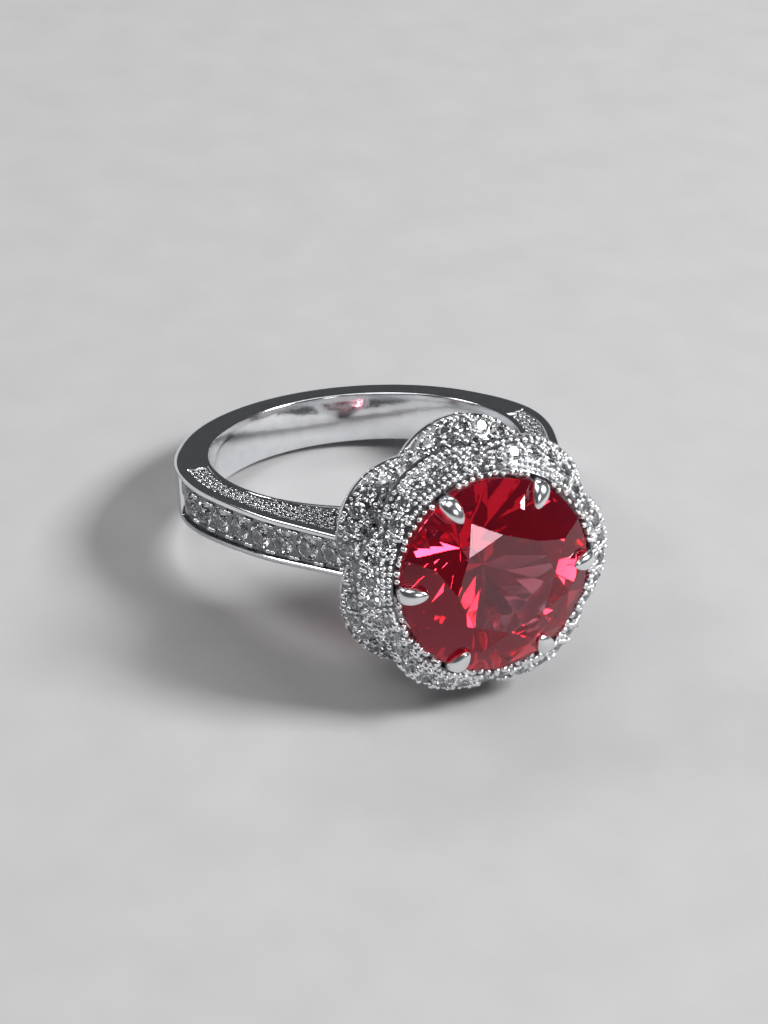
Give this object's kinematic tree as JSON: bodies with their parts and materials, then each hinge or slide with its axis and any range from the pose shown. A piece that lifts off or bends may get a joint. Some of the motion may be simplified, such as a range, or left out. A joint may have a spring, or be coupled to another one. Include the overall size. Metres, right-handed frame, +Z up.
{
  "type": "cocktail ring",
  "caption": "Cocktail ring: a large round faceted stone in claws, in a two-tier flower-shaped halo, on a stone-set cathedral band.",
  "frame": {"origin": "middle of the ring's footprint, on the surface that it lies on", "axes": "the ring lies on its side: +X towards the centre stone, tilted up by 13.71 degrees, +Y across the head, +Z up; the finger's axis leans 13.71 degrees from +Z towards -X"},
  "size_m": [0.029, 0.0208, 0.014],
  "materials": {
    "white_metal": "bright rhodium-plated polish, a little darker in the recesses",
    "centre_stone": "polished transparent red gemstone with sharp facets",
    "small_stones": "polished colourless gemstone with sharp facets"
  },
  "bodies": {
    "root": {"centre_stone": "centre_stone", "claw_basket": "white_metal", "halo_stone_01": "small_stones", "halo_stone_02": "small_stones", "halo_stone_03": "small_stones", "halo_stone_04": "small_stones", "halo_stone_05": "small_stones", "halo_stone_06": "small_stones", "halo_stone_07": "small_stones", "halo_stone_08": "small_stones", "halo_stone_09": "small_stones", "halo_stone_10": "small_stones", "halo_stone_11": "small_stones", "halo_stone_12": "small_stones", "halo_stone_13": "small_stones", "halo_stone_14": "small_stones", "halo_stone_15": "small_stones", "halo_stone_16": "small_stones", "halo_stone_17": "small_stones", "halo_stone_18": "small_stones", "halo_stone_19": "small_stones", "halo_stone_20": "small_stones", "halo_stone_21": "small_stones", "halo_stone_22": "small_stones", "halo_stone_23": "small_stones", "halo_stone_24": "small_stones", "halo_stone_25": "small_stones", "halo_stone_26": "small_stones", "halo_stone_27": "small_stones", "halo_stone_28": "small_stones", "halo_stone_29": "small_stones", "halo_stone_30": "small_stones", "halo_stone_31": "small_stones", "halo_stone_32": "small_stones", "halo_stone_33": "small_stones", "halo_stone_34": "small_stones", "halo_stone_35": "small_stones", "halo_stone_36": "small_stones", "left_shoulder_stone_1": "small_stones", "left_shoulder_stone_2": "small_stones", "left_shoulder_stone_3": "small_stones", "left_shoulder_stone_4": "small_stones", "left_shoulder_stone_5": "small_stones", "left_shoulder_stone_6": "small_stones", "left_shoulder_stone_7": "small_stones", "left_shoulder_stone_8": "small_stones", "petal_halo": "white_metal", "right_shoulder_stone_1": "small_stones", "right_shoulder_stone_2": "small_stones", "right_shoulder_stone_3": "small_stones", "right_shoulder_stone_4": "small_stones", "right_shoulder_stone_5": "small_stones", "right_shoulder_stone_6": "small_stones", "right_shoulder_stone_7": "small_stones", "right_shoulder_stone_8": "small_stones", "shank": "white_metal", "top_halo": "white_metal"}
  },
  "joints": []
}
